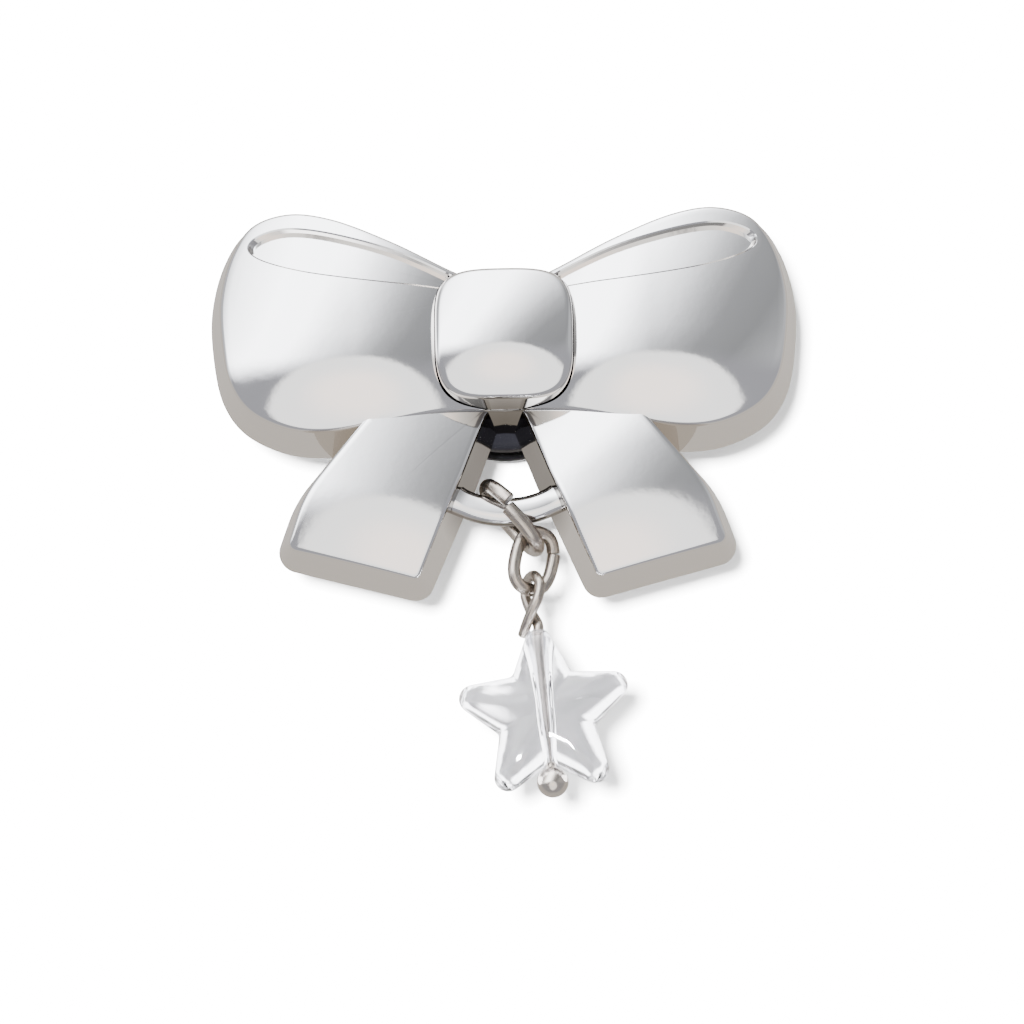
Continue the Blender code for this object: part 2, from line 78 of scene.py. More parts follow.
TAIL_CORNERS = [
    ((-0.3, -3.4), 0.0), ((0.62, -5.08), 0.0), ((1.95, -8.6), 8.0), ((5.25, -16.15), 1.2),
    ((15.1, -13.55), 1.3), ((13.6, -9.3), 8.0), ((9.3, -4.2), 0.0), ((6.0, -2.5), 0.0),
]
TAIL_MIDDLE = (7.0, -9.4)
TAIL_PEAK = -6.25
TAIL_PEAK_AT = (6.4, -7.9)
TAIL_AXIS = (0.42, -0.91)
TAIL_BENDS = (0.085, 0.05, 0.03)
TAIL_TILT = 0.06
KNOT_HALF = (4.6, 4.5)
KNOT_CENTRE_Z = 0.3
KNOT_POWER = 3.9
KNOT_SEAT = -4.7
KNOT_EDGE = -7.5
KNOT_LEAN = 0.22
KNOT_GAP = 0.03
BAR_RADIUS = 6.5
BAR_LOWEST = -10.78
BAR_Y = -4.0
BAR_HALF = (0.8, 0.9)
BAR_SQUARING = 0.85
BAR_FLARE = 0.45
REBATE_INSET = 1.0
REBATE_FLOOR = -2.35


def smooth_through(points, per_span, closed=False):
    """Catmull-Rom: each span is the cubic that passes its two ends with slopes taken from the
    points either side."""
    p = np.array(points, float)
    if closed:
        p = np.vstack([p[-1], p, p[:2]])
    else:
        p = np.vstack([2 * p[0] - p[1], p, 2 * p[-1] - p[-2]])
    a, b, c, d = p[:-3, None], p[1:-2, None], p[2:-1, None], p[3:, None]
    t = (np.arange(per_span) / per_span)[None, :, None]
    curve = 0.5 * (2 * b + (c - a) * t + (2 * a - 5 * b + 4 * c - d) * t**2
                   + (3 * b - 3 * c + d - a) * t**3)
    curve = curve.reshape(-1, p.shape[1])
    return curve if closed else np.vstack([curve, p[-2]])


def spaced(outline, count):
    """The closed outline as count points at even distances along it."""
    loop = np.vstack([outline, outline[:1]])
    along = np.concatenate([[0], np.cumsum(np.linalg.norm(np.diff(loop, axis=0), axis=1))])
    want = np.linspace(0, along[-1], count, endpoint=False)
    return np.stack([np.interp(want, along, loop[:, k]) for k in range(loop.shape[1])], axis=1)


def arc_corners(corners, steps=10):
    """A polygon with every corner that has a radius turned into an arc tangent to its sides."""
    at = np.array([corner for corner, _ in corners], float)
    outline = []
    for i, (_, radius) in enumerate(corners):
        if radius == 0:
            outline.append(at[i][None])
            continue
        back, ahead = at[i - 1] - at[i], at[(i + 1) % len(at)] - at[i]
        back, ahead = back / np.linalg.norm(back), ahead / np.linalg.norm(ahead)
        half = math.acos(np.clip(back @ ahead, -1, 1)) / 2
        centre = at[i] + (back + ahead) / np.linalg.norm(back + ahead) * radius / math.sin(half)
        first = at[i] + back * radius / math.tan(half) - centre
        last = at[i] + ahead * radius / math.tan(half) - centre
        mix = first + (last - first) * np.linspace(0, 1, steps + 1)[:, None]
        outline.append(centre + mix / np.linalg.norm(mix, axis=1)[:, None] * radius)
    return np.vstack(outline)


def loop_outline(inset, count=220):
    """The loop's half outline moved inwards along its own normals, closed past the bow's middle."""
    half = smooth_through(LOOP_HALF_OUTLINE, 14)
    ahead = np.gradient(half, axis=0)
    ahead[[0, -1], 1] = 0
    ahead /= np.linalg.norm(ahead, axis=1)[:, None]
    half = half + inset * np.stack([ahead[:, 1], -ahead[:, 0]], axis=1)
    ends = [(LOOP_PAST_MIDDLE, half[-1, 1]), (LOOP_PAST_MIDDLE, half[0, 1])]
    return spaced(np.vstack([half, ends]), count)


def tail_outline(inset, count=160):
    """The tail's polygon with each side moved inwards by the inset, then its corners rounded."""
    at = np.array([corner for corner, _ in TAIL_CORNERS], float)
    into = at - np.roll(at, 1, axis=0)
    into /= np.linalg.norm(into, axis=1)[:, None]
    out = np.roll(into, -1, axis=0)
    n_in = np.stack([-into[:, 1], into[:, 0]], axis=1)
    n_out = np.stack([-out[:, 1], out[:, 0]], axis=1)
    moved = at + (n_in + n_out) * inset / (1 + (n_in * n_out).sum(axis=1))[:, None]
    bends_out = into[:, 0] * out[:, 1] - into[:, 1] * out[:, 0] > 0
    radii = np.array([radius for _, radius in TAIL_CORNERS])
    radii = np.where(radii == 0, 0, np.where(bends_out, np.maximum(radii - inset, 0.3), radii + inset))
    return spaced(arc_corners(list(zip(moved, radii))), count)


def loop_front(p):
    """Level of the loop's face: its peak plus half of each bend times the square of the distance
    from the peak, with one bend towards the knot, one upwards and one downwards. Towards the
    loop's end it rolls off instead as roll-off * (distance / reach) to the roll's power."""
    to_knot, upwards, downwards = LOOP_BENDS
    dx, dz = p[:, 0] - LOOP_PEAK_AT[0], p[:, 1] - LOOP_PEAK_AT[1]
    roll = LOOP_ROLL_OFF * np.abs(dx / LOOP_ROLL_REACH) ** LOOP_ROLL_POWER
    sideways = np.where(dx < 0, to_knot * dx**2 / 2, roll)
    return LOOP_PEAK + sideways + np.where(dz > 0, upwards, downwards) * dz**2 / 2


def tail_front(p):
    """Level of the tail's face: its peak plus half its bend times the square of the distance from
    the peak, with one bend towards the knot, one towards the tip and one across."""
    to_root, to_tip, sideways = TAIL_BENDS
    dx, dz = p[:, 0] - TAIL_PEAK_AT[0], p[:, 1] - TAIL_PEAK_AT[1]
    along = dx * TAIL_AXIS[0] + dz * TAIL_AXIS[1]
    across = dx * TAIL_AXIS[1] - dz * TAIL_AXIS[0]
    drop = np.where(along < 0, to_root, to_tip) * along**2 + sideways * across**2
    return TAIL_PEAK + drop / 2 + TAIL_TILT * across


def level_ring(outline, level):
    return np.stack([outline[:, 0], np.broadcast_to(level, len(outline)), outline[:, 1]], axis=1)


def crowned_rings(outline_at, front, middle, steps=26):
    """Rings of a crowned block: a wall that leans in, a quarter-round edge, and a front whose rings
    shrink to its middle, all at levels given by the front's formula."""
    rings = [level_ring(outline_at(0.0), BOW_BACK)]
    for part in (0.35, 0.7):
        side = outline_at(WALL_LEAN * part)
        rings.append(level_ring(side, BOW_BACK + (front(side) + EDGE_ROUND - BOW_BACK) * part))
    for turn in np.linspace(0, math.pi / 2, 6):
        edge = outline_at(WALL_LEAN + EDGE_ROUND * (1 - math.cos(turn)))
        rings.append(level_ring(edge, front(edge) + EDGE_ROUND * (1 - math.sin(turn))))
    rim = outline_at(WALL_LEAN + EDGE_ROUND)
    for size in np.linspace(1, 0.02, steps)[1:]:
        inner = middle + (rim - middle) * size
        rings.append(level_ring(inner, front(inner)))
    return rings


def skin(name, rings):
    """A closed skin: rings of points joined to the next by triangles, and each end closed by a fan
    to its middle. It is turned to face outwards by the sign of its volume."""
    grid = np.array(rings) * MM
    rows, count = grid.shape[:2]
    ends = grid[[0, -1]].mean(axis=1)
    points = np.vstack([grid.reshape(-1, 3), ends])
    i, j = np.meshgrid(np.arange(rows - 1), np.arange(count), indexing="ij")
    a = (i * count + j).ravel()
    b = (i * count + (j + 1) % count).ravel()
    faces = np.vstack([np.stack([a, b, b + count], axis=1), np.stack([a, b + count, a + count], axis=1)])
    k = np.arange(count)
    after = (k + 1) % count
    first = np.stack([after, k, np.full(count, rows * count)], axis=1)
    last = np.stack([k, after, np.full(count, 0)], axis=1)
    last[:, :2] += (rows - 1) * count
    last[:, 2] = rows * count + 1
    faces = np.vstack([faces, first, last])
    if np.linalg.det(points[faces] - points.mean(axis=0)).sum() < 0:
        faces = faces[:, ::-1]
    mesh = bpy.data.meshes.new(name)
    mesh.from_pydata(points.tolist(), [], faces.tolist())
    piece = bpy.data.objects.new(name, mesh)
    bpy.context.scene.collection.objects.link(piece)
    return piece


def mirror_rings(rings):
    return [ring * (-1, 1, 1) for ring in rings]


def shape_with(piece, tools, operation):
    """Joins the tools to the piece, or cuts them from it, for good, and removes them."""
    for tool in tools:
        step = piece.modifiers.new("shape", "BOOLEAN")
        step.operation = operation
        step.solver = "EXACT"
        step.object = tool
    graph = bpy.context.evaluated_depsgraph_get()
    mesh = bpy.data.meshes.new_from_object(piece.evaluated_get(graph))
    piece.modifiers.clear()
    old = piece.data
    piece.data = mesh
    mesh.name = piece.name
    bpy.data.meshes.remove(old)
    for tool in tools:
        bpy.data.meshes.remove(tool.data)


def smooth_but_for(piece, angle):
    """Smooth shading, except across edges that turn by more than the angle in degrees."""
    piece.data.shade_smooth()
    piece.data.set_sharp_from_angle(angle=math.radians(angle))


def prism(name, outline, low, high):
    return skin(name, [level_ring(outline, low), level_ring(outline, high)])


def both_hands(name, rings):
    return [skin(f"{name}_right", rings), skin(f"{name}_left", mirror_rings(rings))]


def hollow_rings():
    """The almond hollow: a floor a constant depth under the crown, a steep side and a small lip."""
    rim = spaced(smooth_through(LOOP_HOLLOW, 14, closed=True), 180)
    middle = np.array(HOLLOW_MIDDLE)
    rings = []
    for size in np.linspace(0.02, 0.95, 16):
        floor = middle + (rim - middle) * size
        rings.append(level_ring(floor, loop_front(floor) + HOLLOW_DEPTH))
    rings.append(level_ring(rim, loop_front(rim) + HOLLOW_LIP))
    ahead = np.roll(rim, -1, axis=0) - np.roll(rim, 1, axis=0)
    ahead /= np.linalg.norm(ahead, axis=1)[:, None]
    side = np.stack([ahead[:, 1], -ahead[:, 0]], axis=1)
    outward = side * np.sign(((rim - middle) * side).sum())
    lip = rim + outward * HOLLOW_LIP * 2
    rings.append(level_ring(lip, loop_front(lip) - HOLLOW_LIP))
    rings.append(level_ring(lip, IN_FRONT_OF_ALL))
    return rings


def knot_outline(grow, count=200):
    """A superellipse: |x/a|^n + |z/b|^n = 1, both half-widths grown by the same amount."""
    turn = np.linspace(0, 2 * math.pi, count * 2, endpoint=False)
    c, s = np.cos(turn), np.sin(turn)
    x = (KNOT_HALF[0] + grow) * np.sign(c) * np.abs(c) ** (2 / KNOT_POWER)
    z = (KNOT_HALF[1] + grow) * np.sign(s) * np.abs(s) ** (2 / KNOT_POWER)
    return spaced(np.stack([x, z + KNOT_CENTRE_Z], axis=1), count)


def bar_rings():
    """A squared oval carried along a sagging arc, flared where it runs into the tails."""
    turn = np.linspace(0, 2 * math.pi, 40, endpoint=False)
    deep = BAR_HALF[0] * np.sign(np.cos(turn)) * np.abs(np.cos(turn)) ** BAR_SQUARING
    tall = BAR_HALF[1] * np.sign(np.sin(turn)) * np.abs(np.sin(turn)) ** BAR_SQUARING
    angle = np.radians(np.linspace(-40, 40, 49))
    flare = 1 + BAR_FLARE * np.clip((np.abs(np.degrees(angle)) - 24) / 16, 0, 1) ** 2
    reach = BAR_RADIUS - tall[None, :] * flare[:, None]
    x = reach * np.sin(angle)[:, None]
    z = BAR_LOWEST + BAR_RADIUS - reach * np.cos(angle)[:, None]
    y = BAR_Y + deep[None, :] * flare[:, None]
    return list(np.stack([x, y, z], axis=2))


loop = crowned_rings(loop_outline, loop_front, np.array(LOOP_MIDDLE))
tail = crowned_rings(tail_outline, tail_front, np.array(TAIL_MIDDLE), 20)
bow = skin("bow_moulding", loop)
others = [skin("loop_left", mirror_rings(loop))]
others += both_hands("tail", tail)
others.append(skin("bar", bar_rings()))
shape_with(bow, others, "UNION")
pocket = [level_ring(knot_outline(KNOT_GAP), KNOT_SEAT + KNOT_GAP),
          level_ring(knot_outline(KNOT_GAP - KNOT_LEAN), KNOT_EDGE),
          level_ring(knot_outline(KNOT_GAP - KNOT_LEAN), IN_FRONT_OF_ALL)]
cuts = [skin("pocket", pocket)]
cuts += both_hands("hollow", hollow_rings())
for part, outline in (("loop", loop_outline(REBATE_INSET, 120)), ("tail", tail_outline(REBATE_INSET, 90))):
    recess = [level_ring(outline, 0.0), level_ring(outline, REBATE_FLOOR)]
    cuts += both_hands(f"rebate_{part}", recess)
shape_with(bow, cuts, "DIFFERENCE")
smooth_but_for(bow, 24)


def linear(hex_colour):
    """An sRGB hex colour as linear RGBA."""
    s = np.array([int(hex_colour[k:k + 2], 16) for k in (1, 3, 5)]) / 255
    return (*np.where(s <= 0.04045, s / 12.92, ((s + 0.055) / 1.055) ** 2.4), 1.0)


def add_node(tree, kind, settings=(), **inputs):
    """Adds a node, sets its properties, then sets or links each named input."""
    node = tree.nodes.new(kind)
    for key, value in dict(settings).items():
        setattr(node, key, value)
    for key, value in inputs.items():
        socket = node.inputs[key.replace("_", " ")]
        if isinstance(value, bpy.types.NodeSocket):
            tree.links.new(value, socket)
        else:
            socket.default_value = value
    return node


def new_material(name):
    made = bpy.data.materials.new(name)
    made.use_nodes = True
    return made, made.node_tree, made.node_tree.nodes["Principled BSDF"]


def finish_with(piece, *materials):
    piece.data.materials.clear()
    for one in materials:
        piece.data.materials.append(one)


# Decorative chrome on moulded ABS: a near-perfect mirror, slightly blue in the light, with a faint
# orange peel from the moulding and the copper under it, and a film of handling that dulls it in
# soft patches. The side walls carry painted shade, warmer and darker where they turn away from the
# front, and the slot between the tails carries the darkest painted shade.
RIPPLE = 0.42
RIPPLE_HEIGHT = 0.0019
SMUDGE = 5.0
POLISH = 0.05
SMUDGED = 0.11
# Centre and half-sizes in mm of the painted shade in the slot between the tails.
RECESS_SHADE_AT = (0.0, -3.6, -8.0)
RECESS_SHADE_HALF = (4.6, 8.0, 5.0)

plated_abs, tree, shader = new_material("decorative_chrome_on_abs")
shader.inputs["Metallic"].default_value = 1.0
coordinates = add_node(tree, "ShaderNodeTexCoord")
where = coordinates.outputs["Object"]
facing = add_node(tree, "ShaderNodeSeparateXYZ", Vector=coordinates.outputs["Normal"])
# Painted shade on the side walls: none where the face looks to the front, full where it turns away.
side_shade_mask = add_node(tree, "ShaderNodeMapRange", Value=facing.outputs["Y"], From_Min=-0.75, From_Max=-0.35)
place = add_node(tree, "ShaderNodeMapping", {"vector_type": "TEXTURE"}, Vector=where,
                 Location=[k * MM for k in RECESS_SHADE_AT], Scale=[k * MM for k in RECESS_SHADE_HALF])
reach = add_node(tree, "ShaderNodeVectorMath", {"operation": "LENGTH"}, Vector=place.outputs[0])
# Painted shade in the slot between the tails: full inside the oval round it, fading out at its edge.
recess = add_node(tree, "ShaderNodeMapRange", Value=reach.outputs["Value"], From_Min=1.2, From_Max=0.8)
painted_wall_shade = add_node(tree, "ShaderNodeMix", {"data_type": "RGBA"}, Factor=recess.outputs["Result"])
# Warm grey painted shade for the side walls, and dark brown painted shade for the slot.
painted_wall_shade.inputs[6].default_value = linear("#ddd8d2")
painted_wall_shade.inputs[7].default_value = linear("#6f6961")
plate_colour_and_painted_shade = add_node(tree, "ShaderNodeMix", {"data_type": "RGBA"}, Factor=side_shade_mask.outputs["Result"])
plate_colour_and_painted_shade.inputs[6].default_value = linear("#e6e7ea")
tree.links.new(painted_wall_shade.outputs[2], plate_colour_and_painted_shade.inputs[7])
tree.links.new(plate_colour_and_painted_shade.outputs[2], shader.inputs["Base Color"])
smudge = add_node(tree, "ShaderNodeTexNoise", Vector=where, Scale=1 / (SMUDGE * MM), Detail=3.0)
dull = add_node(tree, "ShaderNodeMapRange", Value=smudge.outputs["Fac"], From_Min=0.35, From_Max=0.75,
                To_Min=POLISH, To_Max=SMUDGED)
tree.links.new(dull.outputs["Result"], shader.inputs["Roughness"])
peel = add_node(tree, "ShaderNodeTexNoise", Vector=where, Scale=1 / (RIPPLE * MM), Detail=1.0,
                Roughness=0.4)
bump = add_node(tree, "ShaderNodeBump", Height=peel.outputs["Fac"], Distance=RIPPLE_HEIGHT * MM,
                Strength=1.0)
tree.links.new(bump.outputs["Normal"], shader.inputs["Normal"])

finish_with(bow, plated_abs)
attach(bow, "charm")
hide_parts("bow_shell")


# ---- Knot --------------------------------------------------------------------------------------
# A separate plated ABS pillow, pressed into the pocket in the bow's front, with a hairline gap all
# round it. Its face is crowned both ways and drops faster towards its edges.

KNOT_PEAK = -8.35
KNOT_PEAK_Z = 0.45
KNOT_BENDS = (0.065, 0.14)
KNOT_ROUND = 0.32


def knot_front(p):
    """Level of the knot's face: its peak plus half of each bend times its distance squared."""
    sideways, upright = KNOT_BENDS
    return KNOT_PEAK + (sideways * p[:, 0] ** 2 + upright * (p[:, 1] - KNOT_PEAK_Z) ** 2) / 2


def knot_rings():
    """A leaning wall, a quarter-round edge, then rings that shrink to the middle of the face."""
    rings = [level_ring(knot_outline(0.0), KNOT_SEAT)]
    for part in (0.35, 0.7):
        side = knot_outline(-KNOT_LEAN * part)
        rings.append(level_ring(side, KNOT_SEAT + (knot_front(side) + KNOT_ROUND - KNOT_SEAT) * part))
    for turn in np.linspace(0, math.pi / 2, 7):
        edge = knot_outline(-KNOT_LEAN - KNOT_ROUND * (1 - math.cos(turn)))
        rings.append(level_ring(edge, knot_front(edge) + KNOT_ROUND * (1 - math.sin(turn))))
    rim = knot_outline(-KNOT_LEAN - KNOT_ROUND)
    middle = np.array((0.0, KNOT_CENTRE_Z))
    for size in np.linspace(1, 0.02, 26)[1:]:
        inner = middle + (rim - middle) * size
        rings.append(level_ring(inner, knot_front(inner)))
    return rings


knot = skin("knot", knot_rings())
smooth_but_for(knot, 30)
finish_with(knot, plated_abs)
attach(knot, "charm")
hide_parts("knot_cap")


# ---- Back plate --------------------------------------------------------------------------------
# A flat ABS plate glued into the bow's back, plated with it. It holds the plug's neck. Its broad
# face keeps a fine moulded grain, so it shines less than the front.

PLATE_FRONT = -2.25
PLATE_BACK = -1.3
PLATE_GAP = 0.05
PLATE_EDGE = 0.12
NECK_HOLE = 1.65


def plate_rings(outline_at):
    """A flat slab with a small chamfer round its rear edge."""
    side = outline_at(REBATE_INSET + PLATE_GAP)
    return [level_ring(side, PLATE_FRONT), level_ring(side, PLATE_BACK - PLATE_EDGE),
            level_ring(outline_at(REBATE_INSET + PLATE_GAP + PLATE_EDGE), PLATE_BACK)]


plate_loop = plate_rings(loop_outline)
plate = skin("rear_plate", plate_loop)
plate_parts = [skin("plate_left", mirror_rings(plate_loop))]
plate_parts += both_hands("plate_tail", plate_rings(tail_outline))
shape_with(plate, plate_parts, "UNION")
turn = np.linspace(0, 2 * math.pi, 64, endpoint=False)
circle = NECK_HOLE * np.stack([np.cos(turn), np.sin(turn)], axis=1)
shape_with(plate, [prism("neck_hole", circle, PLATE_FRONT - 1, 0.0)], "DIFFERENCE")
smooth_but_for(plate, 24)

# The same plate over a spark-textured tool face: fine grain, softer mirror.
GRAIN = 0.3
plated_grain, tree, shader = new_material("chrome_on_textured_abs")
shader.inputs["Base Color"].default_value = linear("#dedfe1")
shader.inputs["Metallic"].default_value = 1.0
where = add_node(tree, "ShaderNodeTexCoord").outputs["Object"]
grain = add_node(tree, "ShaderNodeTexNoise", Vector=where, Scale=1 / (GRAIN * MM), Detail=4.0)
patch = add_node(tree, "ShaderNodeMapRange", Value=grain.outputs["Fac"], To_Min=0.16, To_Max=0.3)
tree.links.new(patch.outputs["Result"], shader.inputs["Roughness"])
bump = add_node(tree, "ShaderNodeBump", Height=grain.outputs["Fac"], Distance=0.004 * MM, Strength=1.0)
tree.links.new(bump.outputs["Normal"], shader.inputs["Normal"])

finish_with(plate, plated_grain)
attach(plate, "charm")
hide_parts("back_plate")


# ---- Plug --------------------------------------------------------------------------------------
# A soft black rubber plug, moulded in one: an anchor held behind the plate, the collar that lies on
# the clog, and the stem and mushroom head that squeeze through the hole.

PLUG_PROFILE = [
    (0.6, -3.5, 0.0), (2.3, -3.5, 0.3), (2.3, -2.3, 0.1), (1.6, -2.3, 0.1), (1.6, -1.2, 0.05),
    (6.05, -1.2, 0.5), (6.05, 0.0, 0.15), (3.5, 0.0, 0.3), (3.5, 4.0, 0.25), (5.6, 4.0, 0.3),
    (5.6, 4.9, 0.5), (4.4, 5.75, 0.9), (3.4, 6.0, 0.5), (0.6, 6.0, 0.0),
]


def turned_rings(corners, count=96):
    """A profile of (radius, level, corner radius), its corners rounded, turned about the Y axis."""
    profile = arc_corners([((r, y), radius) for r, y, radius in corners], 6)
    turn = np.linspace(0, 2 * math.pi, count, endpoint=False)
    r, y = profile[:, :1], profile[:, 1:]
    return np.stack([r * np.sin(turn), y + 0 * turn, r * np.cos(turn)], axis=2)


plug = skin("rubber_plug", turned_rings(PLUG_PROFILE))
smooth_but_for(plug, 35)

# Moulded thermoplastic rubber: near black, satin, with the faint bloom and drag marks that such
# rubber has where it is handled.
rubber, tree, shader = new_material("moulded_black_rubber")
shader.inputs["Metallic"].default_value = 0.0
shader.inputs["IOR"].default_value = 1.52
shader.inputs["Specular IOR Level"].default_value = 0.12
where = add_node(tree, "ShaderNodeTexCoord").outputs["Object"]
bloom = add_node(tree, "ShaderNodeTexNoise", Vector=where, Scale=1 / (3.0 * MM), Detail=4.0)
shade = add_node(tree, "ShaderNodeMix", {"data_type": "RGBA"}, Factor=bloom.outputs["Fac"])
shade.inputs[6].default_value = linear("#020203")
shade.inputs[7].default_value = linear("#040405")
tree.links.new(shade.outputs[2], shader.inputs["Base Color"])
pores = add_node(tree, "ShaderNodeTexNoise", Vector=where, Scale=1 / (0.12 * MM), Detail=3.0)
satin = add_node(tree, "ShaderNodeMapRange", Value=pores.outputs["Fac"], To_Min=0.42, To_Max=0.62)
tree.links.new(satin.outputs["Result"], shader.inputs["Roughness"])
bump = add_node(tree, "ShaderNodeBump", Height=pores.outputs["Fac"], Distance=0.01 * MM, Strength=1.0)
tree.links.new(bump.outputs["Normal"], shader.inputs["Normal"])

finish_with(plug, rubber)
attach(plug, "charm")
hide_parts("plug")


# ---- Upper ring --------------------------------------------------------------------------------
# An oval jump ring of 0.95 mm plated wire, wound on a former, sawn, and hooked over the bar. Its
# ends have sprung apart sideways by a third of a wire, so both cut faces show.

UPPER_WIRE = 0.48
UPPER_HALF = (2.52, 1.74)
UPPER_CENTRE = (0.3, -4.0, -11.15)
UPPER_LEAN = 38.5
UPPER_TURN = 9.0
UPPER_SPLIT = -100.0
UPPER_SPRING = 0.34
UPPER_OPEN = 0.07
OVAL_POWER = 0.8
WIRE_CHAMFER = 0.12


def unit(v):
    return np.array(v, float) / np.linalg.norm(v)


def ring_axes(lean, turn):
    """The ring's long axis, leaning from straight down in the XZ plane, and its short axis, square
    to that and turned from X about Z."""
    down = unit((math.sin(math.radians(lean)), 0, -math.cos(math.radians(lean))))
    short = np.array((math.cos(math.radians(turn)), math.sin(math.radians(turn)), 0))
    return down, unit(short - down * (down @ short))


def oval(half, angle):
    """A squared oval: each coordinate is the circle's, with its size raised to a power under 1."""
    c, s = np.cos(angle), np.sin(angle)
    return half[0] * np.sign(c) * np.abs(c) ** OVAL_POWER, half[1] * np.sign(s) * np.abs(s) ** OVAL_POWER


def sprung_oval(centre, down, short, half, split, spring, gap):
    """An open oval that starts and ends at the split, pushed out of its plane by the fifth power of
    the way round, so that only its ends part."""
    split = math.radians(split)
    way = np.linspace(-1, 1, 145)
    long_part, short_part = oval(half, split + math.pi + way * (math.pi - gap))
    out = np.cross(down, short)
    return (np.array(centre) + long_part[:, None] * down + short_part[:, None] * short
            + (spring / 2 * way**5)[:, None] * out)


def smooth_path(path, passes=3):
    """Each inner point moved to the mean of itself and its neighbours, with weights 1, 2, 1."""
    for _ in range(passes):
        path = np.vstack([path[:1], (path[:-2] + 2 * path[1:-1] + path[2:]) / 4, path[-1:]])
    return path


def wire(name, path, radius, flat_to, sides=28):
    """Round wire along a path. Its section turns with the path and keeps one side square to the
    given direction, and each sawn end has a small chamfer. The attributes hold each point's place
    along the wire in mm and its cosine and sine round it."""
    step = np.gradient(path, axis=0)
    ahead = step / np.linalg.norm(step, axis=1)[:, None]
    side = flat_to - (ahead @ flat_to)[:, None] * ahead
    side /= np.linalg.norm(side, axis=1)[:, None]
    other = np.cross(ahead, side)
    chamfer = WIRE_CHAMFER * radius
    at = np.vstack([path[:1] - ahead[:1] * chamfer, path, path[-1:] + ahead[-1:] * chamfer])
    side, other = (np.vstack([v[:1], v, v[-1:]]) for v in (side, other))
    size = np.full(len(at), radius)
    size[[0, -1]] = radius - chamfer
    turn = np.linspace(0, 2 * math.pi, sides, endpoint=False)
    rings = at[:, None] + size[:, None, None] * (np.cos(turn)[None, :, None] * side[:, None]
                                                  + np.sin(turn)[None, :, None] * other[:, None])
    piece = skin(name, rings)
    along = np.concatenate([[0], np.cumsum(np.linalg.norm(np.diff(at, axis=0), axis=1))])
    marks = {
        "along": np.concatenate([np.repeat(along, sides), along[[0, -1]]]),
        "across_c": np.concatenate([np.tile(np.cos(turn), len(at)), [0, 0]]),
        "across_s": np.concatenate([np.tile(np.sin(turn), len(at)), [0, 0]]),
    }
    for label, values in marks.items():
        attribute = piece.data.attributes.new(label, "FLOAT", "POINT")
        attribute.data.foreach_set("value", values.astype(np.float32))
    return piece


down_1, _ = ring_axes(UPPER_LEAN, 0)
short_1 = np.array((-math.sin(math.radians(UPPER_TURN)), math.cos(math.radians(UPPER_TURN)), 0))
short_1 = unit(short_1 - down_1 * (down_1 @ short_1))
path = smooth_path(sprung_oval(UPPER_CENTRE, down_1, short_1, UPPER_HALF, UPPER_SPLIT, UPPER_SPRING,
                               UPPER_OPEN))
upper_ring = wire("upper_jump_ring", path, UPPER_WIRE, np.cross(down_1, short_1))
smooth_but_for(upper_ring, 30)

# Nickel-plated drawn wire: warm grey metal with lengthwise drawing lines and a slightly milky
# shine where the barrel plating is thick.
DRAW_LINES = 22.0
DRAW_LENGTH = 1.6

nickel_wire, tree, shader = new_material("nickel_plated_drawn_wire")
shader.inputs["Metallic"].default_value = 1.0
along = add_node(tree, "ShaderNodeAttribute", {"attribute_name": "along"}).outputs["Fac"]
cos_part = add_node(tree, "ShaderNodeAttribute", {"attribute_name": "across_c"}).outputs["Fac"]
sin_part = add_node(tree, "ShaderNodeAttribute", {"attribute_name": "across_s"}).outputs["Fac"]
strand = add_node(tree, "ShaderNodeMath", {"operation": "DIVIDE"})
tree.links.new(along, strand.inputs[0])
strand.inputs[1].default_value = DRAW_LENGTH * DRAW_LINES / 4
place = add_node(tree, "ShaderNodeCombineXYZ", X=cos_part, Y=sin_part, Z=strand.outputs[0])
lines = add_node(tree, "ShaderNodeTexNoise", Vector=place.outputs[0], Scale=DRAW_LINES / 4, Detail=4.0,
                 Roughness=0.6)
cloud = add_node(tree, "ShaderNodeTexNoise", Vector=add_node(tree, "ShaderNodeTexCoord").outputs["Object"],
                 Scale=1 / (1.2 * MM), Detail=2.0)
tint = add_node(tree, "ShaderNodeMix", {"data_type": "RGBA"}, Factor=cloud.outputs["Fac"])
tint.inputs[6].default_value = linear("#8f877f")
tint.inputs[7].default_value = linear("#bfb8b0")
tree.links.new(tint.outputs[2], shader.inputs["Base Color"])
shine = add_node(tree, "ShaderNodeMapRange", Value=lines.outputs["Fac"], To_Min=0.12, To_Max=0.34)
tree.links.new(shine.outputs["Result"], shader.inputs["Roughness"])
bump = add_node(tree, "ShaderNodeBump", Height=lines.outputs["Fac"], Distance=0.02 * MM, Strength=1.0)
tree.links.new(bump.outputs["Normal"], shader.inputs["Normal"])

finish_with(upper_ring, nickel_wire)
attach(upper_ring, "upper_ring_body")
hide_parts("upper_ring")


# ---- Lower ring --------------------------------------------------------------------------------
# A smaller oval ring of 0.85 mm wire, the same wire and plating, closed to a hairline split. It
# hangs from the upper ring's lowest point.

LOWER_WIRE = 0.42
LOWER_HALF = (1.88, 1.3)
LOWER_LEAN = -13.0
LOWER_TURN = 25.0
LOWER_SPLIT = 110.0
LOWER_SPRING = 0.1
LOWER_OPEN = 0.04
LINK_GAP = 0.18


def lowest_point(centre, down, short, half):
    """The oval's point with the least height."""
    long_part, short_part = oval(half, np.linspace(-1.4, 1.4, 561))
    points = centre + np.outer(long_part, down) + np.outer(short_part, short)
    return points[np.argmin(points[:, 2])]


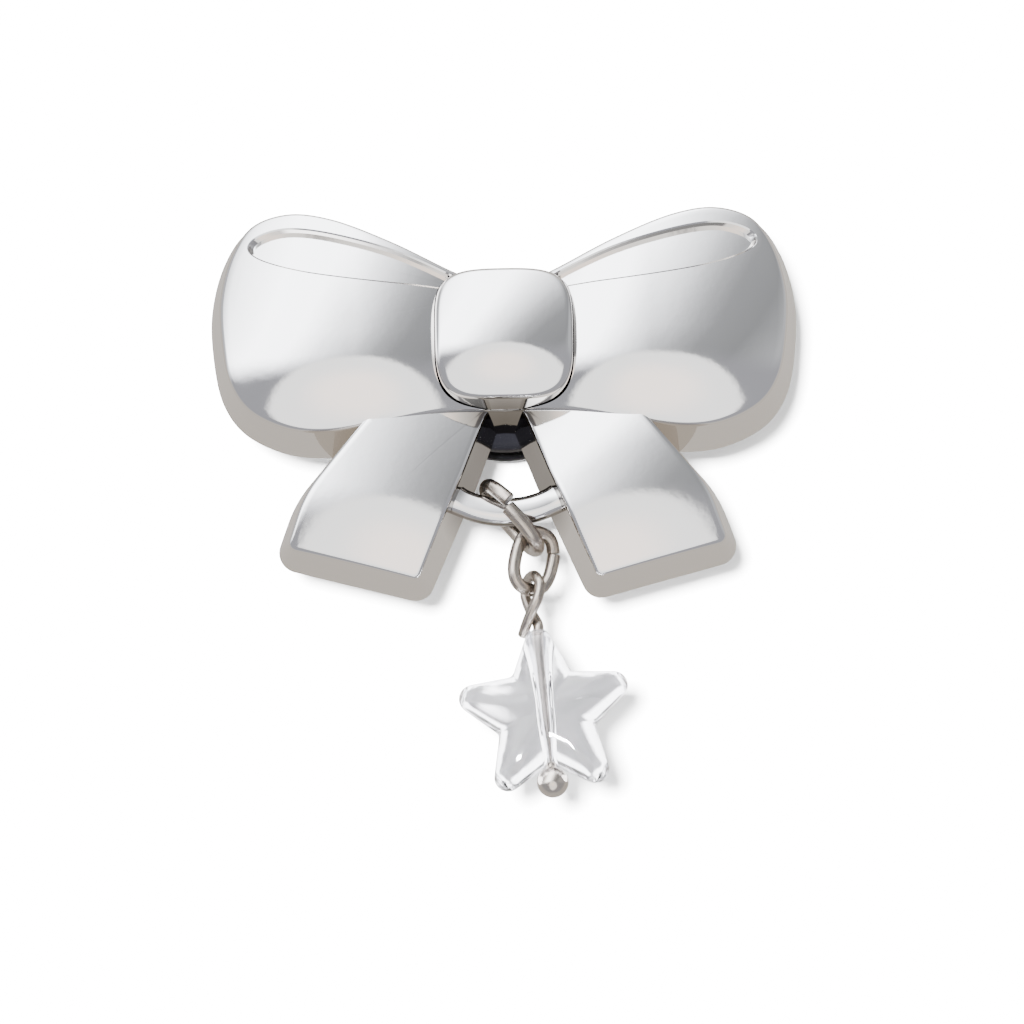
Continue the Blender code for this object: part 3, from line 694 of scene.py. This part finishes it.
hang_1 = lowest_point(np.array(UPPER_CENTRE), down_1, short_1, UPPER_HALF)
down_2, short_2 = ring_axes(LOWER_LEAN, LOWER_TURN)
centre_2 = hang_1 + down_2 * (LOWER_HALF[0] - UPPER_WIRE - LOWER_WIRE - LINK_GAP)
path = smooth_path(sprung_oval(centre_2, down_2, short_2, LOWER_HALF, LOWER_SPLIT, LOWER_SPRING,
                               LOWER_OPEN))
lower_ring = wire("lower_jump_ring", path, LOWER_WIRE, np.cross(down_2, short_2))
smooth_but_for(lower_ring, 30)
finish_with(lower_ring, nickel_wire)
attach(lower_ring, "lower_ring_body")
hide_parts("lower_ring")


# ---- Ball pin ----------------------------------------------------------------------------------
# A head pin of 0.7 mm wire with a 2 mm ball cold-headed on its foot. Its top is turned with pliers
# into an eye that crosses in front of the shank, and its cut end is left showing.

PIN_WIRE = 0.34
PIN_LEAN = 4.8
PIN_FORWARD = 4.0
PIN_LENGTH = 13.5
EYE_GAP = 0.16
EYE_WIDTH = 1.1
BALL_RADIUS = 1.0
EYE_POINTS = [
    (0.85, 3.65, -0.55), (0.3, 3.15, -0.55), (-0.35, 2.5, -0.46), (-0.9, 1.7, -0.2), (-1.0, 0.9, 0.0),
    (-0.62, 0.2, 0.0), (0.0, 0.0, 0.0), (0.62, 0.2, 0.0), (1.0, 0.9, 0.0),
    (0.85, 1.8, 0.08), (0.45, 2.6, 0.16), (0.06, 3.2, 0.15), (0.0, 3.8, 0.08), (0.0, 4.6, 0.0),
    (0.0, 7.0, 0.0), (0.0, 10.0, 0.0), (0.0, PIN_LENGTH, 0.0),
]

hang_2 = lowest_point(centre_2, down_2, short_2, LOWER_HALF)
swing_2 = unit(np.cross(np.cross(down_2, short_2), (0, 0, -1)))
down_3 = unit((math.tan(math.radians(PIN_LEAN)), -math.tan(math.radians(PIN_FORWARD)), -1))
short_3 = unit(np.cross(swing_2, down_3))
out_3 = np.cross(down_3, short_3)
pin_top = hang_2 - down_3 * (LOWER_WIRE + PIN_WIRE + EYE_GAP)
pin_foot = pin_top + down_3 * PIN_LENGTH

bend = smooth_through(EYE_POINTS, 12) * (EYE_WIDTH, 1, 1)
path = pin_top + np.outer(bend[:, 0], short_3) + np.outer(bend[:, 1], down_3) + np.outer(bend[:, 2], out_3)
pin = wire("head_pin", smooth_path(path), PIN_WIRE, out_3, 24)
smooth_but_for(pin, 30)
finish_with(pin, nickel_wire)


def ball_rings(centre, radius, axis, side):
    """A sphere as rings of latitude about the axis: radius sin(a) at height radius cos(a)."""
    other = np.cross(axis, side)
    turn = np.linspace(0, 2 * math.pi, 64, endpoint=False)
    tilt = np.linspace(0.03, math.pi - 0.03, 41)
    around = np.cos(turn)[None, :, None] * side + np.sin(turn)[None, :, None] * other
    return centre + radius * (np.sin(tilt)[:, None, None] * around + np.cos(tilt)[:, None, None] * axis)


ball = skin("pin_ball", ball_rings(pin_foot, BALL_RADIUS, down_3, short_3))
smooth_but_for(ball, 60)

# The same nickel on a forged ball: barrel-polished, so it mirrors, with small tumbling dents.
polished_nickel, tree, shader = new_material("barrel_polished_nickel")
shader.inputs["Base Color"].default_value = linear("#cdc6bf")
shader.inputs["Metallic"].default_value = 1.0
where = add_node(tree, "ShaderNodeTexCoord").outputs["Object"]
dents = add_node(tree, "ShaderNodeTexNoise", Vector=where, Scale=1 / (0.45 * MM), Detail=3.0)
dull = add_node(tree, "ShaderNodeMapRange", Value=dents.outputs["Fac"], To_Min=0.1, To_Max=0.24)
tree.links.new(dull.outputs["Result"], shader.inputs["Roughness"])
bump = add_node(tree, "ShaderNodeBump", Height=dents.outputs["Fac"], Distance=0.018 * MM, Strength=1.0)
tree.links.new(bump.outputs["Normal"], shader.inputs["Normal"])
finish_with(ball, polished_nickel)

for piece in (pin, ball):
    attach(piece, "pin_body")
    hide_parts("ball_pin")


# ---- Star bead ---------------------------------------------------------------------------------
# A puffed star moulded in clear acrylic, drilled from the tip of one arm to the notch opposite, so
# the pin shows through it. Its outline is soft at the tips and a little tighter in the notches.

STAR_ABOVE_BALL = 4.4
STAR_TIP = 6.9
STAR_NOTCH = 3.2
STAR_TIP_ROUND = 0.85
STAR_NOTCH_ROUND = 0.5
STAR_HALF_DEPTH = 1.7
STAR_HOLE = 0.57
STAR_PUFF = 0.62
STAR_CROWN = 0.9


def star_rings(centre, down, side):
    """The star's outline scaled by sin(a) to the puff's power, at a depth of |cos(a)| to the crown's
    power, so the faces are puffed and the edge is round."""
    front = np.cross(side, -down)
    angle = math.pi / 2 - np.arange(10) * math.pi / 5
    reach = np.where(np.arange(10) % 2 == 0, STAR_TIP, STAR_NOTCH)
    corners = [((r * math.cos(a), r * math.sin(a)), STAR_TIP_ROUND if k % 2 == 0 else STAR_NOTCH_ROUND)
               for k, (r, a) in enumerate(zip(reach, angle))]
    outline = spaced(arc_corners(corners, 12), 300)
    tilt = np.linspace(0.04, math.pi - 0.04, 61)
    size = np.sin(tilt) ** STAR_PUFF
    depth = STAR_HALF_DEPTH * np.sign(np.cos(tilt)) * np.abs(np.cos(tilt)) ** STAR_CROWN
    flat = outline[None] * size[:, None, None]
    return (centre + flat[:, :, :1] * side + flat[:, :, 1:] * -down + depth[:, None, None] * front)


side_3 = unit(np.array((1.0, 0, 0)) - down_3 * down_3[0])
star_centre = pin_foot - down_3 * STAR_ABOVE_BALL
star = skin("star", star_rings(star_centre, down_3, side_3))
turn = np.linspace(0, 2 * math.pi, 48, endpoint=False)
around = STAR_HOLE * (np.cos(turn)[:, None] * side_3 + np.sin(turn)[:, None] * np.cross(side_3, down_3))
drill = skin("drill", [star_centre + down_3 * reach + around for reach in (-9, 9)])
shape_with(star, [drill], "DIFFERENCE")
smooth_but_for(star, 40)

# Cast acrylic, tumble-polished: clear with a breath of grey, faint flow lines from moulding, and
# small tumbling marks on its skin.
acrylic, tree, shader = new_material("clear_polished_acrylic")
shader.inputs["Base Color"].default_value = linear("#c6c6ca")
shader.inputs["Transmission Weight"].default_value = 1.0
shader.inputs["IOR"].default_value = 1.49
where = add_node(tree, "ShaderNodeTexCoord").outputs["Object"]
marks = add_node(tree, "ShaderNodeTexNoise", Vector=where, Scale=1 / (0.9 * MM), Detail=2.0)
polish = add_node(tree, "ShaderNodeMapRange", Value=marks.outputs["Fac"], To_Min=0.0, To_Max=0.08)
tree.links.new(polish.outputs["Result"], shader.inputs["Roughness"])
bump = add_node(tree, "ShaderNodeBump", Height=marks.outputs["Fac"], Distance=0.01 * MM, Strength=1.0)
tree.links.new(bump.outputs["Normal"], shader.inputs["Normal"])

finish_with(star, acrylic)
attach(star, "star_body")
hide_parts("star_bead")


# ---- Floor, light and camera -------------------------------------------------------------------
# A pale floor that sweeps up behind the charm, open from behind so that the back can be seen, and a
# soft key light in front, a little to the left. Neither shows in the chrome, which mirrors only the
# studio around them.

SWEEP_BEHIND = 7.0
FLOOR_LEVEL = -150.0
SWEEP_RADIUS = 60.0


def sweep_profile():
    """Straight along the floor, a quarter turn, then straight up."""
    turn = np.linspace(0, math.pi / 2, 24)
    bend_y = SWEEP_BEHIND - SWEEP_RADIUS + SWEEP_RADIUS * np.sin(turn)
    bend_z = FLOOR_LEVEL + SWEEP_RADIUS - SWEEP_RADIUS * np.cos(turn)
    y = np.concatenate([[-1500], bend_y, [SWEEP_BEHIND]])
    z = np.concatenate([[FLOOR_LEVEL], bend_z, [900]])
    return np.stack([y, z], axis=1)


profile = sweep_profile()
x = np.array([-900.0, 900.0])
grid = np.stack([np.broadcast_to(x, (len(profile), 2)), np.repeat(profile[:, :1], 2, axis=1),
                 np.repeat(profile[:, 1:], 2, axis=1)], axis=2) * MM
k = np.arange(len(profile) - 1) * 2
faces = np.stack([k, k + 1, k + 3, k + 2], axis=1)
mesh = bpy.data.meshes.new("floor")
mesh.from_pydata(grid.reshape(-1, 3).tolist(), [], faces.tolist())
floor = bpy.data.objects.new("floor", mesh)
bpy.context.scene.collection.objects.link(floor)
floor.data.shade_smooth()

paper, tree, shader = new_material("matt_white_paper_sweep")
shader.inputs["Base Color"].default_value = linear("#a8a8a8")
shader.inputs["Roughness"].default_value = 0.9
shader.inputs["Specular IOR Level"].default_value = 0.0
behind = add_node(tree, "ShaderNodeNewGeometry").outputs["Backfacing"]
clear = add_node(tree, "ShaderNodeBsdfTransparent")
choose = add_node(tree, "ShaderNodeMixShader", Fac=behind)
tree.links.new(shader.outputs[0], choose.inputs[1])
tree.links.new(clear.outputs[0], choose.inputs[2])
tree.links.new(choose.outputs[0], tree.nodes["Material Output"].inputs["Surface"])
finish_with(floor, paper)


def softbox(name, at, towards, width, height, watts, shape="RECTANGLE", colour="#ffffff"):
    """An area light at a point, in metres, facing another."""
    light = bpy.data.lights.new(name, "AREA")
    light.shape = shape
    light.size = width
    light.size_y = height
    light.energy = watts
    light.color = linear(colour)[:3]
    holder = bpy.data.objects.new(name, light)
    holder.location = at
    holder.rotation_euler = (Vector(towards) - Vector(at)).to_track_quat("-Z", "Y").to_euler()
    bpy.context.scene.collection.objects.link(holder)
    return holder


KEY_AT = (-0.085, -0.75, -0.085)
KEY_SIZE = 0.09
KEY_WATTS = 260
middle = (0.0, -0.004, -0.008)
key = softbox("upper_softbox", KEY_AT, middle, KEY_SIZE, KEY_SIZE, KEY_WATTS)
key.visible_glossy = False
floor.visible_glossy = False

# The rest of the studio is soft: white on the left and above, fading to grey on the right and
# below, a round warm-white reflector low in front, and a dim wall behind.
SLANT = 0.45
REFLECTOR_AT, REFLECTOR_HALF = (0.0, -0.5), (0.45, 0.44)
REFLECTOR_GLOW_AT, REFLECTOR_GLOW_HALF = (0.0, -0.42), (0.22, 0.2)
WHITE_FROM_LEFT = [
    (-1.3, 0.5), (-1.0, 0.9), (-0.8, 5.5), (-0.6, 8.0), (-0.38, 7.6), (-0.2, 3.7), (-0.1, 2.4), (0.0, 1.35),
    (0.1, 0.8), (0.22, 0.5), (0.45, 0.42), (0.75, 0.75), (1.4, 0.6),
]

world = bpy.data.worlds.new("studio")
bpy.context.scene.world = world
world.use_nodes = True
tree = world.node_tree
towards = add_node(tree, "ShaderNodeTexCoord").outputs["Generated"]
split = add_node(tree, "ShaderNodeSeparateXYZ", Vector=towards)
x, y, z = (split.outputs[axis] for axis in "XYZ")


def step_between(value, low, high):
    """0 under the low value, 1 over the high one, with a smooth rise between."""
    ramp = add_node(tree, "ShaderNodeMapRange", {"interpolation_type": "SMOOTHSTEP"}, Value=value,
                    From_Min=low, From_Max=high)
    return ramp.outputs["Result"]


def sum_of(value, factor, other):
    """value * factor + other."""
    node = add_node(tree, "ShaderNodeMath", {"operation": "MULTIPLY_ADD"})
    tree.links.new(value, node.inputs[0])
    node.inputs[1].default_value = factor
    tree.links.new(other, node.inputs[2])
    return node.outputs[0]


def oval_card(centre, half, soft):
    """1 inside an oval of directions round the centre (x, z), fading to 0 at its edge."""
    at = add_node(tree, "ShaderNodeMapping", {"vector_type": "TEXTURE"}, Vector=towards,
                  Location=(centre[0], 0, centre[1]), Scale=(half[0], 1e6, half[1]))
    reach = add_node(tree, "ShaderNodeVectorMath", {"operation": "LENGTH"}, Vector=at.outputs[0])
    return step_between(reach.outputs["Value"], 1 + soft, 1 - soft)


def blend_to(shade, amount, colour, strength):
    """The shade mixed towards a colour, times its strength, by the amount."""
    node = add_node(tree, "ShaderNodeMix", {"data_type": "RGBA"}, Factor=amount)
    tree.links.new(shade, node.inputs[6])
    node.inputs[7].default_value = [strength * c for c in linear(colour)[:3]] + [1]
    return node.outputs[2]


def tone_along(value, stops):
    """A ramp through (place, brightness) stops, as grey."""
    low, high = stops[0][0], stops[-1][0]
    most = max(tone for _, tone in stops)
    place = add_node(tree, "ShaderNodeMapRange", Value=value, From_Min=low, From_Max=high)
    ramp = add_node(tree, "ShaderNodeValToRGB", Fac=place.outputs["Result"])
    marks = ramp.color_ramp.elements
    for at, tone in stops[1:-1]:
        marks.new((at - low) / (high - low)).color = [tone / most * c for c in (0.985, 0.99, 1.0)] + [1]
    marks[0].color = [stops[0][1] / most] * 3 + [1]
    marks[-1].color = [stops[-1][1] / most] * 3 + [1]
    bright = add_node(tree, "ShaderNodeVectorMath", {"operation": "SCALE"}, Scale=most)
    tree.links.new(ramp.outputs["Color"], bright.inputs[0])
    return bright.outputs["Vector"]


shade = tone_along(sum_of(z, -SLANT, x), WHITE_FROM_LEFT)
shade = blend_to(shade, step_between(z, 0.0, -0.26), "#dcdbe0", 0.72)
shade = blend_to(shade, oval_card(REFLECTOR_AT, REFLECTOR_HALF, 0.06), "#fbf9f5", 2.5)
shade = blend_to(shade, oval_card(REFLECTOR_GLOW_AT, REFLECTOR_GLOW_HALF, 0.5), "#fff1e6", 3.1)
shade = blend_to(shade, step_between(y, -0.1, 0.3), "#fbf5ee", 0.9)
sky = tree.nodes["Background"]
tree.links.new(shade, sky.inputs["Color"])
sky.inputs["Strength"].default_value = 1.0

CAMERA_ELEVATION = -11.5
CAMERA_ROLL = 1.0
VIEW_WIDTH = 66.4935
VIEW_CENTRE = (0.487, -9.7403)

lens = bpy.data.cameras.new("camera")
lens.lens = 200.0
lens.sensor_width = 36.0
lens.clip_start = 0.01
camera = bpy.data.objects.new("camera", lens)
bpy.context.scene.collection.objects.link(camera)
away = VIEW_WIDTH * MM * lens.lens / lens.sensor_width
turned = Matrix.Rotation(math.pi / 2 - math.radians(CAMERA_ELEVATION), 4, "X")
view = turned @ Matrix.Rotation(math.radians(-CAMERA_ROLL), 4, "Z")
across, up = VIEW_CENTRE
camera.matrix_world = view @ Matrix.Translation((across * MM, up * MM, away))
bpy.context.scene.camera = camera

bpy.context.view_layer.update()
